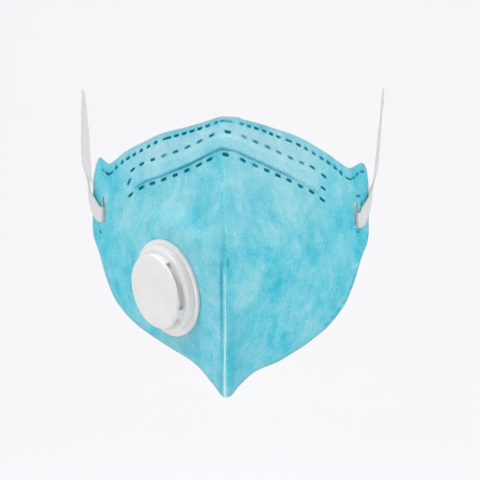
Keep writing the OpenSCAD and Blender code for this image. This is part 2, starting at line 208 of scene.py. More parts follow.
def drop_at(line, x, side):
    """Drop of a line below the nose edge at x."""
    if side > 0:
        bow = (LEFT_BOW - LEFT_BOW_FADE * line[0]) * smooth(32, 40, x) * smooth(60, 48, x)
        sag = LEFT_SAG * x - bow
        dip = LEFT_DIP * smooth(14, 26, x) + LEFT_NOTCH_DIP * smooth(50, 57, x) * smooth(63, 59, x)
        dip -= LEFT_TAB_RISE * smooth(59, 64, x)
    else:
        bow = RIGHT_BOW * smooth(29, 38, x) * smooth(52, 40, x)
        sag = RIGHT_SAG * smooth(0, 22, x) * (1 - RIGHT_SAG_FADE * smooth(30, 46, x)) - bow
        dip = RIGHT_DIP * smooth(30, 45, x) + RIGHT_NOTCH_DIP * smooth(54, 57.5, x)
    inner = smooth(EDGE_WELD[0], UPPER_WELD[0], line[0])
    return line[0] + line[1] * x + sag * inner + dip * smooth(0, 1.4, line[0]) * (1 - inner)


def dash(along, across, half_l, half_w):
    """1 in the middle of a welded dash and 0 outside it."""
    return 1 - smooth(0.45, 1.5, (abs(along) / half_l) ** 4 + (abs(across) / half_w) ** 4)


# Dashes of each row on each side: place along the row and half length. The edge row has a long one
EDGE_DASHES = {
    1: [(1.2, 2.7)] + [(7.8 + 3.3 * k, 1.1) for k in range(6)] + [(29.1, 1.85)]
       + [(33.7 + 3.55 * k, 1.15) for k in range(5)]
       + [(50.6, 1.1), (53.4, 1.1), (57.1, 1.8), (59.5, 0.6), (61.5, 0.6), (64.1, 0.9)],
    -1: [(0, 1.4), (3.3, 1.0)] + [(7.1 + 3.7 * k, 1.15) for k in range(5)] + [(26.5, 2.3)]
        + [(32.3 + 3.62 * k, 1.15) for k in range(7)]
        + [(56.9, 0.7), (58.5, 0.6), (60.0, 0.7), (61.8, 0.5)],
}
UPPER_DASHES = {
    1: [(2.0, 1.5)] + [(8.9 + 5.2 * k, 1.3) for k in range(8)],
    -1: [(5.2 + 5.69 * k, 1.4) for k in range(7)] + [(44.3, 1.4)],
}
LOWER_DASHES = {
    1: [(1.0, 1.5)] + [(8.5 + 5.1 * k, 1.3) for k in range(8)],
    -1: [(-1.0, 1.5), (6.2, 1.4)] + [(11.1 + 5.71 * k, 1.4) for k in range(7)],
}
# Short dashes above and below the strap's slot: place, half width and half height
TAB_DASHES = {
    1: [(61.9, 22.6, 1.2, 0.65), (63.5, 18.7, 0.4, 1.4), (61.6, 5.6, 1.0, 0.8)],
    -1: [(62.8, 2.6, 0.45, 0.7)],
}
# Half widths of the dashes. An edge dash whose half length is over LONG_DASH is slimmer, and a pocket's
# dash nearer the seam than SEAM_DASH is wider
EDGE_HALF, LONG_HALF, LONG_DASH = 0.68, 0.52, 1.5
UPPER_HALF, LOWER_HALF = 0.66, 0.78
SEAM_DASH, SEAM_WIDER = 3, 1.1
# Edge dashes up to this half length stay upright; the others lie along the slope of their row
SHORT_DASH = 0.9
# No dash reaches further than this from its middle
DASH_REACH = 4.5
# The dash that closes the wire's pocket: how far past its end and how far down, half length, half width
# and darkness. It lies level on the left half, and stands slanted on the right
END_DASH = {1: (0.2, 0.2, 1.25, 0.65, 0.9), -1: (1.9, -0.9, 1.5, 0.85, 1.0)}
END_SLANT = 0.45
# How dark the dashes are pressed, from 0 to 1; the left half is pressed more lightly, the edge row is
# fainter at the seam and on the right tab, and the upper row is darker towards its end
EDGE_DARK, UPPER_DARK, LOWER_DARK, SEAM_DARK = 0.9, 0.72, 0.95, 0.9
LEFT_FAINT = 0.85
EDGE_SEAM_FAINT, EDGE_TAB_FAINT, UPPER_END_DARK = 0.35, 0.3, 0.2
TAB_DARK = {1: 0.75, -1: 0.95}
TAB_PRESS = 0.9
# The tool's pressure is uneven over about 3 mm
UNEVEN, UNEVEN_MM = 0.16, 3


def edge_row_z(x, side):
    return top_z(x, side) - drop_at(EDGE_WELD, x, side)


def edge_dash_at(x, drop, at, half_l, side):
    """One dash of the edge row, from 0 to 1."""
    steep = 1
    if half_l > SHORT_DASH:
        steep = math.hypot(1, edge_row_z(at + 0.5, side) - edge_row_z(at - 0.5, side))
    half_w = (LONG_HALF if half_l > LONG_DASH else EDGE_HALF) * steep
    return dash(x - at, drop - drop_at(EDGE_WELD, x, side), half_l / steep, half_w)


def pocket_end_at(x, drop, side):
    """The dash that closes the wire's pocket, from 0 to 1, and its darkness."""
    past, low, half_l, half_w, dark = END_DASH[side]
    out = x - POCKET_END - past
    down = drop - (drop_at(UPPER_WELD, POCKET_END, side) + drop_at(LOWER_WELD, POCKET_END, side)) / 2
    if side > 0:
        return dash(out, down - low, half_l, half_w), dark
    return dash(down - low, out - END_SLANT * down, half_l, half_w), dark


def weld_at(x, z, side):
    """How deep the heat-pressed dashes are and how dark, each from 0 to 1."""
    drop = top_z(x, side) - z
    faint = LEFT_FAINT if side > 0 else 1.0
    found = [(0.0, 0.0), pocket_end_at(x, drop, side)]
    edge_dark = (EDGE_DARK - EDGE_SEAM_FAINT * smooth(16, 0, x)) * faint
    if side < 0:
        edge_dark -= EDGE_TAB_FAINT * smooth(59, 62, x)
    for at, half_l in EDGE_DASHES[side]:
        if abs(x - at) < DASH_REACH:
            found.append((edge_dash_at(x, drop, at, half_l, side), edge_dark))
    upper_dark = UPPER_DARK + UPPER_END_DARK * smooth(26, 44, x)
    for line, half_w, dark, dashes in ((UPPER_WELD, UPPER_HALF, upper_dark, UPPER_DASHES),
                                       (LOWER_WELD, LOWER_HALF, LOWER_DARK, LOWER_DASHES)):
        across = drop - drop_at(line, x, side)
        for at, half_l in dashes[side]:
            if at < SEAM_DASH:
                found.append((dash(x - at, across, half_l, half_w * SEAM_WIDER), SEAM_DARK))
            elif abs(x - at) < DASH_REACH:
                found.append((dash(x - at, across, half_l, half_w), dark * faint))
    for at, high, half_w, half_h in TAB_DASHES[side]:
        found.append((TAB_PRESS * dash(x - at, z - high, half_w, half_h), TAB_DARK[side]))
    depth, dark = max(found)
    spot = Vector((side * x / UNEVEN_MM, 5.5, z / UNEVEN_MM))
    return depth, depth * (dark + UNEVEN * noise.noise(spot))


# Painted light: how much paler the cover is drawn over the padded nose band on each half, where light from
# above falls, less below the upper row, and how much paler the cheeks are drawn than the rim
NOSE_PAINTED_LIGHT = {1: 1.3, -1: 1.05}
NOSE_PAINTED_LIGHT_LOW = 0.35
CHEEK_PAINTED_LIGHT = {1: 0.45, -1: 0.3}


def painted_light_at(x, z, side):
    """Painted light: where the cover is drawn paler over the nose band and the cheeks; about 1 is full."""
    drop = top_z(x, side) - z
    low = drop_at(WIRE_LOW, x, side)
    nose = smooth(0.5, 5, drop) * smooth(low + 0.5, low - 1.5, drop) * smooth(52, 36, x)
    nose *= NOSE_PAINTED_LIGHT[side] - NOSE_PAINTED_LIGHT_LOW * smooth(0, 4, drop - drop_at(UPPER_WELD, x, side))
    cheek = CHEEK_PAINTED_LIGHT[side] * smooth(60, 40, x)
    if side > 0:
        cheek *= smooth(-12, 12, z)
    return max(nose, cheek)


def weld_band(x, z, side):
    """The same rows without gaps, for the layers inside."""
    drop = top_z(x, side) - z
    near = min(abs(drop - drop_at(line, x, side)) for line in (EDGE_WELD, UPPER_WELD, LOWER_WELD))
    return 1 - smooth(0.7, 1.5, near)


# The ridge over the wire runs out more softly below on the outer part of the left half
LEFT_RIDGE_SOFT = 1.4


def ridge_at(x, z, side):
    """Rise of the cover over the nose wire, from 0 to 1."""
    drop = top_z(x, side) - z
    low = drop_at(WIRE_LOW, x, side)
    up = smooth(drop_at(UPPER_WELD, x, side) + 0.8, drop_at(WIRE_TOP, x, side) + 0.6, drop)
    soft = LEFT_RIDGE_SOFT * smooth(24, 34, x) if side > 0 else 0
    down = smooth(low - 0.35, low + 0.4 + soft, drop)
    return up * (1 - down) * (1 - smooth(POCKET_END - 3.6, POCKET_END, x))


# The layers thin out to a pressed rim: the share that is left of them, and where they start to thin
RIM_LEFT, RIM_WIDE = 0.4, 7
# The tab's side slopes back, so its sheet is this much wider than it looks from the front
TAB_SLOPE = 1.9
# How bare the cut edge looks along the nose, and how grey the rest of the rim is drawn, which is painted
# shade along the edge
NOSE_CUT, RIM_SHADE = 0.6, 0.5


def from_rim(x, z):
    """How far a point is from the lower edge or the tab's side."""
    return min(z - low_z(x), (HALF_W - x) * TAB_SLOPE)


def pinch(x, z, side):
    """The share of the layers' thickness that is left at a point."""
    edge = min(top_z(x, side) - z, from_rim(x, z))
    return RIM_LEFT + (1 - RIM_LEFT) * smooth(0.5, RIM_WIDE, edge)


def cut_edge_and_rim_shade(x, z, side):
    """How bare the cut edge is along the nose, and how grey the rest of the rim is drawn as painted shade,
    from 0 to 1.
    """
    nose = NOSE_CUT * smooth(1.7, 0.3, top_z(x, side) - z)
    return max(nose, RIM_SHADE * smooth(2.4, 0.4, from_rim(x, z)))


def span(a, b, step):
    """Even places from a up to b, about step apart; b itself is left to what follows."""
    n = max(1, round(abs(b - a) / step))
    return [a + (b - a) * k / n for k in range(n)]


def column_list(fine):
    """Where a half has columns of points; they are closer at the seam and at the slot."""
    if not fine:
        return span(0, 58, 2.4) + span(58, HALF_W, 1.1) + [HALF_W]
    left, right = SLOT_X - SLOT_W / 2, SLOT_X + SLOT_W / 2
    return (span(0, 3, 0.42) + span(3, left, 0.62) + span(left, right, 0.5)
            + span(right, HALF_W, 0.45) + [HALF_W])


# Rows of points across a welded row, from its middle, and the rows between the welded ones
ROWS_IN_BAND = (-1.5, -0.65, 0.65, 1.5)
ROWS_IN_DASH = (-0.78, -0.5, -0.22, 0.06, 0.34, 0.62, 0.9)
ROWS_BELOW = {
    EDGE_WELD: [(4.4, 0.065), (5.2, 0.088), (5.45, 0.092), (5.65, 0.098)],
    UPPER_WELD: [(8.2, 0.108), (8.9, 0.112), (9.6, 0.115), (10.3, 0.118), (10.65, 0.12), (11, 0.122),
                 (11.35, 0.124), (11.7, 0.126), (12.05, 0.128), (12.4, 0.13)],
    WIRE_LOW: [(15.7, 0.126)],
    LOWER_WELD: [(19.2, 0.117), (20.6, 0.117), (22, 0.117)],
}
COARSE_ROWS, FINE_ROWS = 20, 52
# The rows by drop take at most this share of a half's height, so they close up at the tab
DROP_SHARE = 0.86


def row_list(fine):
    """Rows from the nose edge down: first by their drop, then by their share of the rest."""
    if not fine:
        rows = [(0, 0)]
        for drop, sink in (EDGE_WELD, UPPER_WELD, LOWER_WELD):
            rows += [(drop + k, sink) for k in ROWS_IN_BAND]
        rows.append((22, 0.12))
        return rows, [k / COARSE_ROWS for k in range(COARSE_ROWS + 1)]
    rows = [(0, 0), (0.25, 0), (0.7, 0.005), (1.1, 0.012)]
    for line, below in ROWS_BELOW.items():
        rows += [(line[0] + k, line[1]) for k in ROWS_IN_DASH] + below
    return rows, [k / FINE_ROWS for k in range(FINE_ROWS + 1)]


def row_z(x, rows, shares, j, side):
    """Height of row j at x."""
    high, low = top_z(x, side), low_z(x)
    last = drop_at(rows[-1], x, side)
    fit = min(1, DROP_SHARE * (high - low) / last)
    if j < len(rows):
        return high - drop_at(rows[j], x, side) * fit
    start = high - last * fit
    return start + (low - start) * shares[j - len(rows) + 1]


def finish_mesh(bm, name, sharp):
    """The object of a bmesh, shaded smooth except at edges sharper than so many degrees."""
    bmesh.ops.recalc_face_normals(bm, faces=bm.faces[:])
    for f in bm.faces:
        f.smooth = True
    for e in bm.edges:
        e.smooth = len(e.link_faces) != 2 or e.calc_face_angle(0) < math.radians(sharp)
    mesh = bpy.data.meshes.new(name)
    bm.to_mesh(mesh)
    bm.free()
    obj = bpy.data.objects.new(name, mesh)
    bpy.context.scene.collection.objects.link(obj)
    return obj


# The dashes are pressed in from the front, and less from the back; the wire lifts the cover
WELD_DEPTH, WELD_BACK = 0.38, 0.22
RIDGE_RISE = 1.0
# Soft waves in the cloth: height, size across and up, and the place where the noise is read
WAVES = ((0.45, 17, 21, 3.1), (0.16, 6, 7, 8.7))
# Radius of the crease above the seam's foremost point
CREASE_R = 1.4
# The pressed groove beside the fin on the right half, and the pitch of the beads in it
GROOVE_AT, GROOVE_HALF, GROOVE_DEPTH, BEAD_PITCH = 1.75, 0.7, 0.18, 1.9
# The pressed hem below the left tab: how far in, how wide, and its pitch
HEM_IN, HEM_HALF, HEM_PITCH = 2.0, 1.0, 3.2
# The painted shade line under the wire's ridge: how far below the wire's lower line, and half its width
WIRE_CREASE, WIRE_CREASE_HALF = 0.15, 0.75
# A darker spot where the fin starts: how far out and how far below the seam's tip, half width and height
FIN_START = (1.2, 1.2, 0.75, 2.0)
# How dark the cover is drawn, from 0 to 1: painted shade in the welded groove beside the fin, under the
# wire and in the crease beside the seam, and darker places at the fin's start, the chin, the tabs and the
# pressed hem
GROOVE_DARK, BEAD_DARK = 0.42, 0.12
WIRE_SHADE, WIRE_SHADE_RIGHT, WIRE_SHADE_SEAM = 0.26, 0.24, 0.1
FIN_START_DARK = 0.5
CREASE_SHADE = 0.28
CHIN_DARK, CHIN_DARK_LEFT = 0.3, 0.24
TAB_DARKER, TAB_DARKER_LEFT = 0.07, 0.13
HEM_DARK = 0.5


def sway_at(x, z, side):
    """Soft waves in the cloth, which die out at the seam and round the valve."""
    calm = smooth(FLANGE_R + 3, FLANGE_R + 14, from_valve(x, z)) if side < 0 else 1
    sway = 0
    for high, wide, tall, seed in WAVES:
        sway += high * noise.noise(Vector((side * x / wide, seed, z / tall))) * calm * smooth(0, 8, x)
    return sway


def round_crease(x, z):
    """How far the face comes forward beside the seam, so that the crease above its tip is round."""
    rounded = math.sqrt(x * x + CREASE_R ** 2) - CREASE_R
    return SPREAD_RISE * (x - rounded) * smooth(TIP_H - 4, TIP_H + 16, z) * smooth(12, 2, x)


def groove_at(x, z, side):
    """The groove beside the fin, from 0 to 1."""
    if side > 0:
        return 0
    return dash(0, x - GROOVE_AT, 1, GROOVE_HALF) * smooth(TIP_H + 1, TIP_H - 5, z)


def painted_shade_and_marks(x, z, side):
    """How dark the cover is drawn apart from the dashes: painted shade in the welded groove beside the fin,
    under the wire's ridge and in the crease beside the seam, and darker places at the fin's start, the
    chin, the tabs and the pressed hem.
    """
    # the welded groove beside the fin: its beads, with painted shade in it
    beads = GROOVE_DARK + BEAD_DARK * math.sin(2 * math.pi * z / BEAD_PITCH)
    # painted shade under the step of the wire's ridge
    below_wire = top_z(x, side) - z - drop_at(WIRE_LOW, x, side)
    under_wire_shade = dash(0, below_wire - WIRE_CREASE, 1, WIRE_CREASE_HALF)
    wire_shade = WIRE_SHADE + WIRE_SHADE_SEAM * smooth(5, 0, x)
    out, low, half_w, half_h = FIN_START
    fin_start = dash(x - out, z - TIP_H + low, half_w, half_h)
    chin = smooth(-52, -62, z) * smooth(5, 3, x) * smooth(0.8, 1.6, x)
    found = [beads * groove_at(x, z, side), FIN_START_DARK * fin_start, CHIN_DARK * chin,
             TAB_DARKER * smooth(44, 60, x)]
    if side > 0:
        under_wire_shade *= smooth(38, 28, x)
        hem = dash(0, from_rim(x, z) - HEM_IN, 1, HEM_HALF) * smooth(0, -10, z) * smooth(-45, -36, z)
        pressed = smooth(-0.5, 0.6, math.sin(2 * math.pi * z / HEM_PITCH))
        found += [CHIN_DARK_LEFT * smooth(-18, -45, z) * smooth(18, 3, x),
                  TAB_DARKER_LEFT * smooth(56, 61, x) * smooth(12, 24, z), HEM_DARK * hem * pressed]
    else:
        under_wire_shade *= smooth(42, 38, x)
        wire_shade += WIRE_SHADE_RIGHT * smooth(28, 20, x) * smooth(4, 11, x)
        # painted shade in the crease beside the seam above its tip
        crease = smooth(2.6, 0.6, x) * smooth(16, 0, z) * smooth(TIP_H, TIP_H + 3, z)
        found.append(CREASE_SHADE * crease)
    return max(found + [wire_shade * under_wire_shade])


# How the mask hangs, in millimetres: the left tab and cheek lower, and the nose leant to the right
TAB_HANG = 1.35
CHEEK_SAG = {1: 2.7, -1: 1.9}
JAW_SAG = 0.8
NOSE_LEAN = 1.2
NOSE_TWIST = 0.55


def hang(x, y, z, side):
    """A point of a half in the frame, in metres, with the tab, the cheek, the jaw and the nose hung."""
    sag = CHEEK_SAG[side] * smooth(4, 24, x) * smooth(56, 34, x) * smooth(10, -45, z)
    if side > 0:
        sag += JAW_SAG * smooth(38, 47, x) * smooth(57, 50, x) * smooth(0, -30, z)
    lean = NOSE_LEAN * smooth(-5, 45, z) * smooth(60, 42, x)
    twist = NOSE_TWIST * smooth(1, 6, x) * smooth(30, 16, x) * smooth(15, 45, z)
    lower = TAB_HANG * smooth(36, 60, x) + sag - twist
    return Vector((side * x - lean, y, z - side * lower)) * MM


def make_sheet(name, side, t0, t1, fine):
    """One layer of one half, from depth t0 to t1 under the outer face; side is 1 or -1 along X."""
    valve = side < 0
    columns, (rows, shares) = column_list(fine), row_list(fine)
    n_rows = len(rows) + len(shares) - 1
    bm = bmesh.new()
    bmesh.ops.create_grid(bm, x_segments=len(columns) - 1, y_segments=n_rows - 1, size=0.5)
    weld_and_shade_layer = bm.verts.layers.float.new("weld")
    rim_layer = bm.verts.layers.float.new("rim")
    painted_light_layer = bm.verts.layers.float.new("painted_light")
    back = {}
    for v in bm.verts:
        i = round((v.co.x + 0.5) * (len(columns) - 1))
        j = round((0.5 - v.co.y) * (n_rows - 1))
        x = columns[i]
        z = row_z(x, rows, shares, j, side)
        wide = stretch(x, z, valve)
        weld, weld_and_shade_dark = weld_at(x, z, side) if fine else (weld_band(x, z, side), 0)
        thick = TOTAL_T * pinch(x, z, side) - (WELD_DEPTH + WELD_BACK) * weld
        rise = -WELD_DEPTH * weld
        if t0 == 0:
            rise += RIDGE_RISE * ridge_at(x, z, side) - GROOVE_DEPTH * groove_at(x, z, side)
            # the cover also gets painted shade in its creases and the fin's groove, and darker places
            weld_and_shade_dark = max(weld_and_shade_dark, painted_shade_and_marks(x, z, side))
        deep = thick * t0 / TOTAL_T - rise + sway_at(x, z, side)
        v.co = hang(x, face_y(x, z, valve) - round_crease(x, z) + deep * wide, z, side)
        # the weld attribute holds the dashes' darkness and the painted shade
        v[weld_and_shade_layer] = weld_and_shade_dark
        # painted light: the cover is drawn paler over the nose band and the cheeks
        v[painted_light_layer] = painted_light_at(x, z, side)
        v[rim_layer] = cut_edge_and_rim_shade(x, z, side)
        back[v] = thick * (t1 - t0) / TOTAL_T * wide * MM
    gone = []
    for f in bm.faces:
        c = f.calc_center_median() / MM
        x, z = abs(c.x), c.z
        in_slot = abs(x - SLOT_X) < SLOT_W / 2 and abs(z + side * TAB_HANG - SLOT_H) < SLOT_L / 2
        if in_slot or (valve and from_valve(x + VALVE_SLANT * (t0 + t1) / 2, z) < HOLE_R):
            gone.append(f)
    bmesh.ops.delete(bm, geom=gone, context="FACES")
    # the back starts at the front's points, and each finds its thickness by its place
    thickness = {tuple(round(c, 9) for c in v.co): back[v] for v in bm.verts}
    made = bmesh.ops.extrude_face_region(bm, geom=bm.faces[:], use_keep_orig=True)
    for v in (g for g in made["geom"] if isinstance(g, bmesh.types.BMVert)):
        v.co.y += thickness[tuple(round(c, 9) for c in v.co)]
    return finish_mesh(bm, name, 50)


def tube_mesh(name, sections, closed_ring=False, sharp=45):
    """A mesh through closed cross-sections, each the same number of points in order. Its UV map runs along
    it and round it, in metres."""
    n, m = len(sections), len(sections[0])
    runs = n if closed_ring else n - 1
    bm = bmesh.new()
    bmesh.ops.create_grid(bm, x_segments=runs, y_segments=m, size=0.5)
    uv = bm.loops.layers.uv.new("UVMap")
    place = {}
    for v in bm.verts:
        i = round((v.co.x + 0.5) * runs)
        j = round((v.co.y + 0.5) * m)
        place[v] = (i, j)
        v.co = sections[i % n][j % m]
    lengths = [0.0]
    for i in range(runs):
        a = sum(sections[i % n], Vector()) / m
        b = sum(sections[(i + 1) % n], Vector()) / m
        lengths.append(lengths[-1] + (b - a).length)
    rounds = [0.0]
    for j in range(m):
        rounds.append(rounds[-1] + (sections[0][(j + 1) % m] - sections[0][j]).length)
    for f in bm.faces:
        for loop in f.loops:
            i, j = place[loop.vert]
            loop[uv].uv = (lengths[i], rounds[j])
    bmesh.ops.remove_doubles(bm, verts=bm.verts[:], dist=1e-7)
    if not closed_ring:
        bmesh.ops.holes_fill(bm, edges=[e for e in bm.edges if len(e.link_faces) == 1], sides=0)
    return finish_mesh(bm, name, sharp)


# Materials
def linear(hex_colour):
    """An sRGB hex value as linear red, green, blue and alpha."""
    parts = [int(hex_colour[k:k + 2], 16) / 255 for k in (1, 3, 5)]
    return [c / 12.92 if c <= 0.04045 else ((c + 0.055) / 1.055) ** 2.4 for c in parts] + [1.0]


def add(tree, kind, links=None, stops=(), out=0, **settings):
    """Adds a node and gives one of its outputs. links are its inputs: numbers, vectors or an output of
    another node. stops are a ramp's places and colours."""
    node = tree.nodes.new(kind)
    for key, value in settings.items():
        setattr(node, key, value)
    for key, value in (links or {}).items():
        if isinstance(value, bpy.types.NodeSocket):
            tree.links.new(value, node.inputs[key])
        else:
            node.inputs[key].default_value = value
    for k, (at, colour) in enumerate(stops):
        element = node.color_ramp.elements[k] if k < 2 else node.color_ramp.elements.new(at)
        element.position, element.color = at, linear(colour)
    return node.outputs[out]


def new_material(name, **shader):
    """A new material, its node tree, and its shader's inputs with the constants set."""
    material = bpy.data.materials.new(name)
    material.use_nodes = True
    tree = material.node_tree
    surface = tree.nodes["Principled BSDF"]
    for key, value in shader.items():
        surface.inputs[key.replace("_", " ")].default_value = value
    return material, tree, surface.inputs


def spunbond(name, stops, painted_light, cut, dark, cloud):
    """Spunbond polypropylene: a matt felt of fine laid fibres, uneven in tone from patch to patch,
    pressed smooth and darker where it is welded."""
    material, tree, shader = new_material(name, Roughness=0.92, Specular_IOR_Level=0.15)
    place = add(tree, "ShaderNodeTexCoord", out="Object")
    # lay-down clouds are about 18 mm across, with smaller ones of 5 mm in them; fibre bundles are about
    # 0.4 mm wide, and drawn at 1.2 mm so that they show in the render
    tone = 0.5 - 0.5 * sum(cloud)
    for share, size, detail, rough in zip(cloud, (18, 5, 1.2), (2, 2, 3), (0.6, 0.6, 0.7)):
        patch = add(tree, "ShaderNodeTexNoise", {"Vector": place, "Scale": 1 / (size * MM),
                                                 "Detail": detail, "Roughness": rough})
        tone = add(tree, "ShaderNodeMath", {0: patch, 1: share, 2: tone}, operation="MULTIPLY_ADD")
    colour = add(tree, "ShaderNodeValToRGB", {"Fac": tone}, stops)
    # painted light over the padded nose band and the cheeks, the rim's bare cut edge with painted shade
    # along it, and the welded dashes with painted shade in creases and grooves each shift the tone, as far
    # as the sheet's attribute says
    for attribute, shades, share in (("painted_light", painted_light, 0.35), ("rim", cut, 0.7), ("weld", dark, 1.35)):
        pressed = add(tree, "ShaderNodeAttribute", out="Fac", attribute_name=attribute)
        amount = add(tree, "ShaderNodeMath", {0: pressed, 1: share}, operation="MULTIPLY",
                     use_clamp=True)
        shade = add(tree, "ShaderNodeValToRGB", {"Fac": pressed}, shades)
        colour = add(tree, "ShaderNodeMix", {0: amount, 6: colour, 7: shade}, out=2, data_type="RGBA")
    # single fibres and bond points shade it over about 1 mm
    fibre = add(tree, "ShaderNodeTexNoise", {"Vector": place, "Scale": 1 / (1.0 * MM), "Detail": 3,
                                             "Roughness": 0.7})
    value = add(tree, "ShaderNodeMapRange", {"Value": fibre, "From Min": 0.3, "From Max": 0.7,
                                             "To Min": 0.87, "To Max": 1.13})
    colour = add(tree, "ShaderNodeHueSaturation", {"Color": colour, "Value": value})
    tree.links.new(colour, shader["Base Color"])
    bump = add(tree, "ShaderNodeBump", {"Height": fibre, "Strength": 0.4, "Distance": 0.25 * MM})
    tree.links.new(bump, shader["Normal"])
    return material


def moulded_polypropylene():
    """Injection-moulded polypropylene: white, faintly waxy, with a fine satin grain."""
    glow = (1.5 * MM, 1.5 * MM, 1.5 * MM)
    material, tree, shader = new_material("moulded polypropylene", Roughness=0.42, IOR=1.49,
                                          Subsurface_Weight=0.2, Subsurface_Radius=glow)
    place = add(tree, "ShaderNodeTexCoord", out="Object")
    # flow marks are about 14 mm long, and the grain is 0.5 mm
    flow = add(tree, "ShaderNodeTexNoise", {"Vector": place, "Scale": 1 / (14 * MM), "Detail": 3})
    colour = add(tree, "ShaderNodeValToRGB", {"Fac": flow}, [(0.3, "#e5e4e3"), (0.7, "#eeedec")])
    tree.links.new(colour, shader["Base Color"])
    grain = add(tree, "ShaderNodeTexNoise", {"Vector": place, "Scale": 1 / (0.5 * MM), "Detail": 2})
    bump = add(tree, "ShaderNodeBump", {"Height": grain, "Strength": 0.08, "Distance": 0.1 * MM})
    tree.links.new(bump, shader["Normal"])
    return material


# The elastic band's cross-section with soft edges, in shares of half its width and half its thickness
STRAP_W, STRAP_T = 7.5, 0.9
BAND = [(-1, -0.35), (-0.93, -0.85), (-0.5, -1), (0, -1), (0.5, -1), (0.93, -0.85), (1, -0.35),
        (1, 0.35), (0.93, 0.85), (0.5, 1), (0, 1), (-0.5, 1), (-0.93, 0.85), (-1, 0.35)]
# Once round it, and the way round to the middle of its second edge, which is its seventh side
BAND_SIDES = [math.hypot((u1 - u0) * STRAP_W / 2, (v1 - v0) * STRAP_T / 2)
              for (u0, v0), (u1, v1) in zip(BAND, BAND[1:] + BAND[:1])]
BAND_ROUND = sum(BAND_SIDES)
BAND_EDGE = sum(BAND_SIDES[:6]) + BAND_SIDES[6] / 2
RIB_MM, STITCH_MM = 0.75, 0.6


def knitted_elastic():
    """Knitted elastic tape: white rubber-cored cords side by side, so fine ribs run along it."""
    material, tree, shader = new_material("knitted elastic", Roughness=0.85, Specular_IOR_Level=0.25)
    tape = add(tree, "ShaderNodeUVMap", uv_map="UVMap")
    around = add(tree, "ShaderNodeSeparateXYZ", {0: tape}, out="Y")
    along = add(tree, "ShaderNodeSeparateXYZ", {0: tape}, out="X")
    # ribs are 0.75 mm apart, and a stitch is 0.6 mm long
    waves = []
    for way, pitch in ((around, RIB_MM), (along, STITCH_MM)):
        turn = add(tree, "ShaderNodeMath", {0: way, 1: 2 * math.pi / (pitch * MM)}, operation="MULTIPLY")
        waves.append(add(tree, "ShaderNodeMath", {0: turn}, operation="SINE"))
    height = add(tree, "ShaderNodeMath", {0: waves[1], 1: 0.4, 2: waves[0]}, operation="MULTIPLY_ADD")
    shade = add(tree, "ShaderNodeMapRange", {"Value": height, "From Min": -1.4, "From Max": 1.4})
    cords = add(tree, "ShaderNodeValToRGB", {"Fac": shade}, [(0.0, "#d3d3d4"), (0.6, "#e4e4e5")])
    # painted shade: both edges of the band are drawn greyer over about 0.5 mm; the wave peaks at the two
    # edges
    twice = 4 * math.pi / BAND_ROUND
    turn = add(tree, "ShaderNodeMath", {0: around, 1: twice / MM, 2: -twice * BAND_EDGE},
               operation="MULTIPLY_ADD")
    edge = add(tree, "ShaderNodeMath", {0: turn}, operation="COSINE")
    edge_shade = add(tree, "ShaderNodeMapRange", {"Value": edge, "From Min": 0.8, "From Max": 0.98,
                                             "To Min": 1.0, "To Max": 0.84})
    colour = add(tree, "ShaderNodeHueSaturation", {"Color": cords, "Value": edge_shade})
    tree.links.new(colour, shader["Base Color"])
    bump = add(tree, "ShaderNodeBump", {"Height": shade, "Strength": 0.5, "Distance": 0.25 * MM})
    tree.links.new(bump, shader["Normal"])
    return material


def silicone_rubber():
    """Silicone rubber: a thin milky sheet with a dull shine."""
    glow = (1 * MM, 1 * MM, 1 * MM)
    material, tree, shader = new_material("silicone rubber", Roughness=0.5, IOR=1.41,
                                          Subsurface_Weight=0.2, Subsurface_Radius=glow)
    place = add(tree, "ShaderNodeTexCoord", out="Object")
    # the milkiness varies over about 5 mm
    milk = add(tree, "ShaderNodeTexNoise", {"Vector": place, "Scale": 1 / (5 * MM), "Detail": 2})
    colour = add(tree, "ShaderNodeValToRGB", {"Fac": milk}, [(0.3, "#dedcd6"), (0.7, "#e8e6e1")])
    tree.links.new(colour, shader["Base Color"])
    return material


def rolled_aluminium():
    """Aluminium strip: rolled, so its shine runs along it."""
    material, tree, shader = new_material("rolled aluminium", Metallic=1.0, Roughness=0.4)
    place = add(tree, "ShaderNodeTexCoord", out="Object")
    # roll marks are 0.4 mm apart and about 30 mm long
    per_mark = (1 / (30 * MM), 1 / (30 * MM), 1 / (0.4 * MM))
    along = add(tree, "ShaderNodeMapping", {"Vector": place, "Scale": per_mark})
    roll = add(tree, "ShaderNodeTexNoise", {"Vector": along, "Scale": 1.0, "Detail": 2})
    colour = add(tree, "ShaderNodeValToRGB", {"Fac": roll}, [(0.3, "#b9bcc0"), (0.7, "#d4d6d9")])
    tree.links.new(colour, shader["Base Color"])
    return material


def polyurethane_foam():
    """Soft polyurethane foam: white and matt, with open cells that show as fine pits."""
    material, tree, shader = new_material("polyurethane foam", Roughness=0.95, Specular_IOR_Level=0.15)
    place = add(tree, "ShaderNodeTexCoord", out="Object")
    # cells are about 0.4 mm; drawn at 0.9 mm so that they show
    cell = add(tree, "ShaderNodeTexVoronoi", {"Vector": place, "Scale": 1 / (0.9 * MM)})
    colour = add(tree, "ShaderNodeValToRGB", {"Fac": cell}, [(0.0, "#cfcdc8"), (0.45, "#f0efec")])
    tree.links.new(colour, shader["Base Color"])
    bump = add(tree, "ShaderNodeBump", {"Height": cell, "Strength": 0.6, "Distance": 0.4 * MM})
    tree.links.new(bump, shader["Normal"])
    return material


